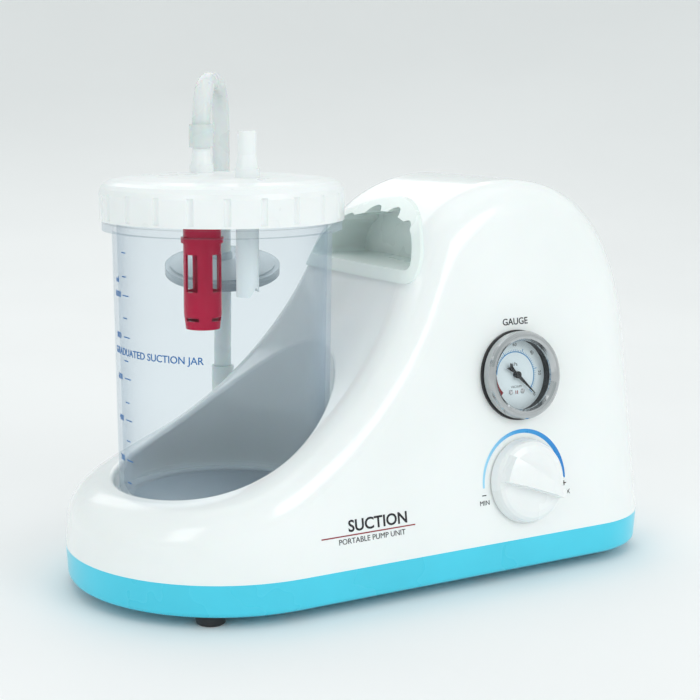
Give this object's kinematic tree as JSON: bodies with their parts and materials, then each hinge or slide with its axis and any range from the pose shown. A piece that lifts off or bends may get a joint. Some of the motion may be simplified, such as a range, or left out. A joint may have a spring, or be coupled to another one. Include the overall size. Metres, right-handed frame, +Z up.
{
  "type": "suction pump",
  "caption": "Portable medical suction pump: glossy housing with a jar cradle and grip, clear collection jar with screw lid, vacuum gauge, flow knob and filtered vacuum hose.",
  "frame": {"origin": "centre of the footprint on the floor, measured without the free hoses", "axes": "+X from the jar to the pump dome, -Y towards the operator and the gauge, +Z up"},
  "size_m": [0.3268, 0.2132, 0.2685],
  "materials": {
    "white_shell": "glossy",
    "blue_tray": "satin",
    "handle_white": "satin",
    "black_rubber": "matte",
    "steel": "machined",
    "chrome": "polished",
    "gauge_black": "matte",
    "dial_white": "satin",
    "needle_black": "satin",
    "lens_glass": "clear",
    "brass": "machined",
    "knob_white": "satin",
    "laminations": "matte",
    "copper_winding": "enamelled",
    "die_cast": "cast",
    "black_plastic": "matte",
    "rocker_red": "glossy",
    "tube_silicone": "translucent",
    "grey_plastic": "matte",
    "clear_jar": "clear moulded plastic",
    "lid_white": "satin",
    "seal_silicone": "matte",
    "cage_red": "translucent",
    "float_white": "matte",
    "filter_shell": "translucent",
    "filter_paper": "matte"
  },
  "bodies": {
    "housing": {"base_tray": "blue_tray", "bourdon_tube": "brass", "connecting_rod": "die_cast", "damper_bolts": "steel", "diaphragm": "black_rubber", "elbow_nut": "grey_plastic", "foot_screws": "steel", "fuse_holder": "black_plastic", "gauge_bezel": "chrome", "gauge_case": "gauge_black", "gauge_dial": "dial_white", "gauge_lens": "lens_glass", "gauge_socket": "brass", "handle_insert": "handle_white", "head_screws": "steel", "hose_elbow": "grey_plastic", "housing_screws": "steel", "internal_tubes": "tube_silicone", "mains_inlet": "black_plastic", "motor_bearings": "steel", "motor_capacitor": "grey_plastic", "motor_end_bells": "die_cast", "motor_stator": "laminations", "motor_winding": "copper_winding", "mount_plate": "steel", "pump_crankcase": "die_cast", "pump_head": "die_cast", "regulator_body": "die_cast", "regulator_nut": "brass", "rubber_dampers": "black_rubber", "rubber_feet": "black_rubber", "silencer": "black_plastic", "switch_frame": "black_plastic", "tee_connector": "grey_plastic", "upper_housing": "white_shell", "valve_plate": "die_cast"},
    "needle": {"gauge_needle": "needle_black"},
    "knob": {"regulator_knob": "knob_white", "regulator_stem": "steel"},
    "rotor": {"motor_rotor": "laminations", "motor_shaft": "steel", "crank_disc": "steel", "cooling_fan": "black_plastic"},
    "rocker": {"switch_rocker": "rocker_red"},
    "fuse_carrier": {"fuse_cap": "black_plastic", "fuse_link": "lens_glass"},
    "seal_ring": {"lid_seal": "seal_silicone"},
    "jar": {"jar": "clear_jar"},
    "lid": {"lid": "lid_white", "float_cage": "cage_red", "dip_tube": "lid_white"},
    "float": {"float": "float_white", "float_seal": "black_rubber"},
    "hose_set": {"hose_upper": "tube_silicone", "hose_cuff": "tube_silicone", "filter_top": "filter_shell", "filter_bottom": "filter_shell", "filter_membrane": "filter_paper", "hose_lower": "tube_silicone", "elbow_cuff": "tube_silicone"}
  },
  "joints": [
    {"name": "gauge_needle_swing", "type": "hinge", "parent": "housing", "child": "needle", "pos_m": [0.0601, -0.07076, 0.1089], "axis": [0, -0.9877, 0.1564], "range_deg": [0, 270]},
    {"name": "knob_turn", "type": "hinge", "parent": "housing", "child": "knob", "pos_m": [0.0599, -0.07959, 0.0532], "axis": [0, -0.9877, 0.1564], "range_deg": [0, 225]},
    {"name": "motor_spin", "type": "hinge", "parent": "housing", "child": "rotor", "pos_m": [0.08, 0.014, 0.072], "axis": [1, 0, 0], "continuous": true},
    {"name": "rocker_tilt", "type": "hinge", "parent": "housing", "child": "rocker", "pos_m": [0.076, 0.07879, 0.05184], "axis": [0, 0.1564, -0.9877], "range_deg": [0, 15]},
    {"name": "fuse_carrier_pull", "type": "slide", "parent": "housing", "child": "fuse_carrier", "axis": [0, 0.9877, 0.1564], "range_m": [0, 0.03]},
    {"name": "canister_lift", "type": "slide", "parent": "housing", "child": "seal_ring", "axis": [0, 0, 1], "range_m": [0, 0.15]},
    {"name": "jar_unscrew", "type": "hinge", "parent": "seal_ring", "child": "jar", "pos_m": [-0.079, 0, 0.2], "axis": [0, 0, 1], "range_deg": [-180, 0]},
    {"name": "lid_lift", "type": "slide", "parent": "seal_ring", "child": "lid", "axis": [0, 0, 1], "range_m": [0, 0.1]},
    {"name": "float_rise", "type": "slide", "parent": "lid", "child": "float", "axis": [0, 0, 1], "range_m": [0, 0.013]},
    {"name": "hose_pull", "type": "slide", "parent": "lid", "child": "hose_set", "axis": [0, 0, 1], "range_m": [0, 0.03]}
  ]
}
